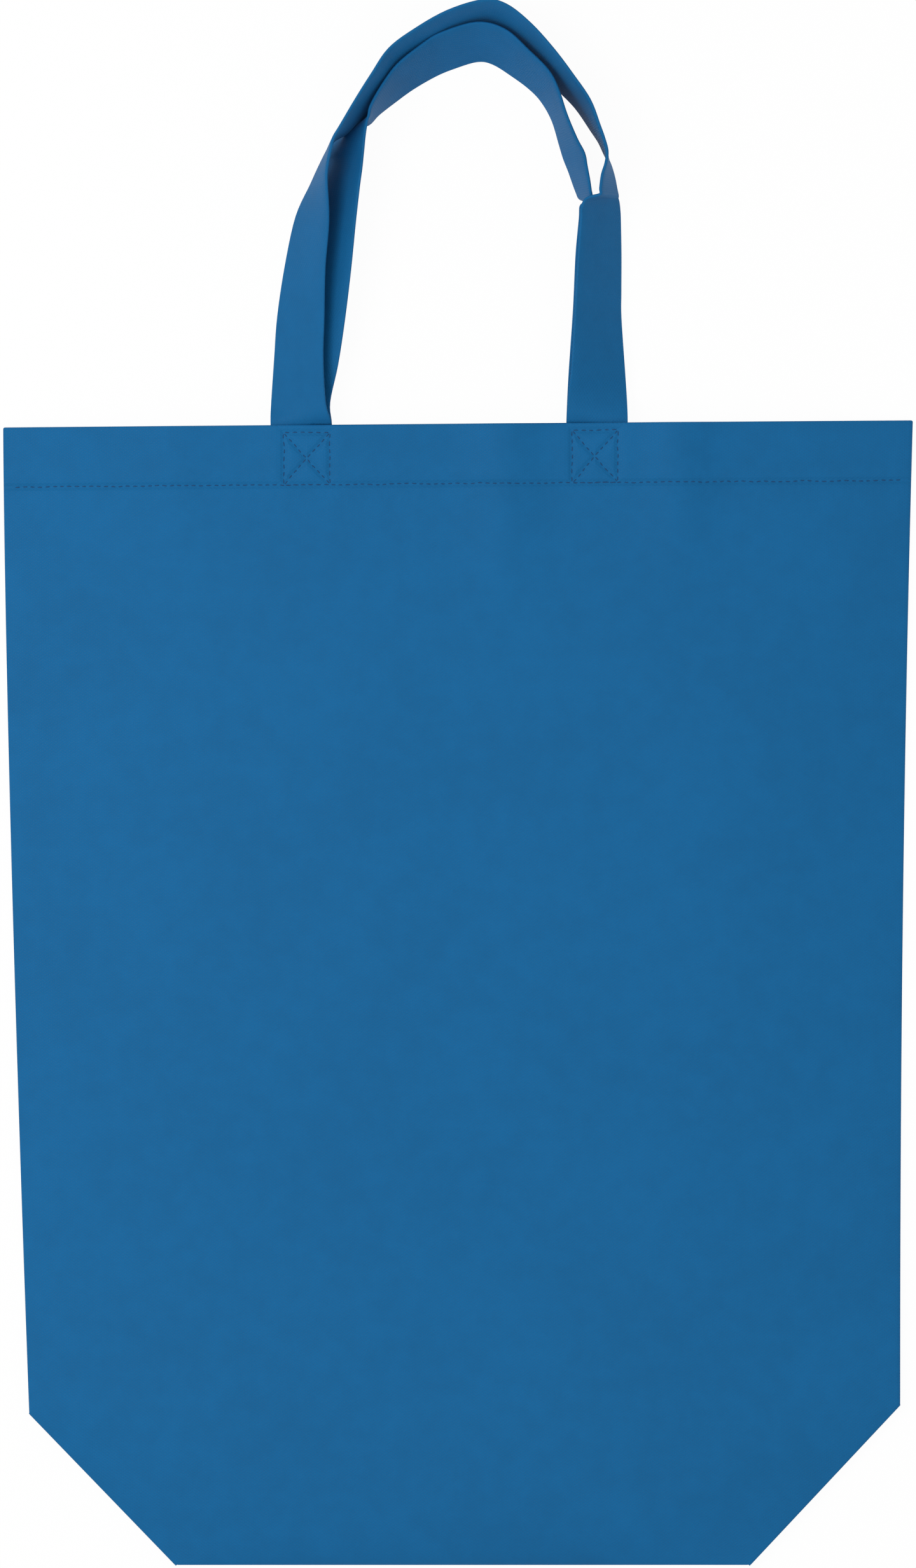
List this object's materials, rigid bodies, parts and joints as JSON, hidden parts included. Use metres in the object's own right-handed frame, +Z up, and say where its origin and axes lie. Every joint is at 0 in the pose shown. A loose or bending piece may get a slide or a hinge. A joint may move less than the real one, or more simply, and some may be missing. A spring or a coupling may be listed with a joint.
{
  "type": "shopping bag",
  "caption": "Flat non-woven shopping bag with a turned-in hem, a folded-up base gusset and sewn strap handles, lying empty on its back.",
  "frame": {"origin": "centre of the bag's footprint with its handles, on the ground under the back panel", "axes": "+X along the mouth, +Y from the base to the handles, +Z up out of the front panel"},
  "size_m": [0.3598, 0.6183, 0.0253],
  "materials": {
    "body_cloth": "matte point-bonded spunbond cloth",
    "strap_cloth": "matte spunbond cloth folded double"
  },
  "bodies": {
    "root": {"bag_body": "body_cloth", "front_handle": "strap_cloth", "rear_handle": "strap_cloth"}
  },
  "joints": []
}
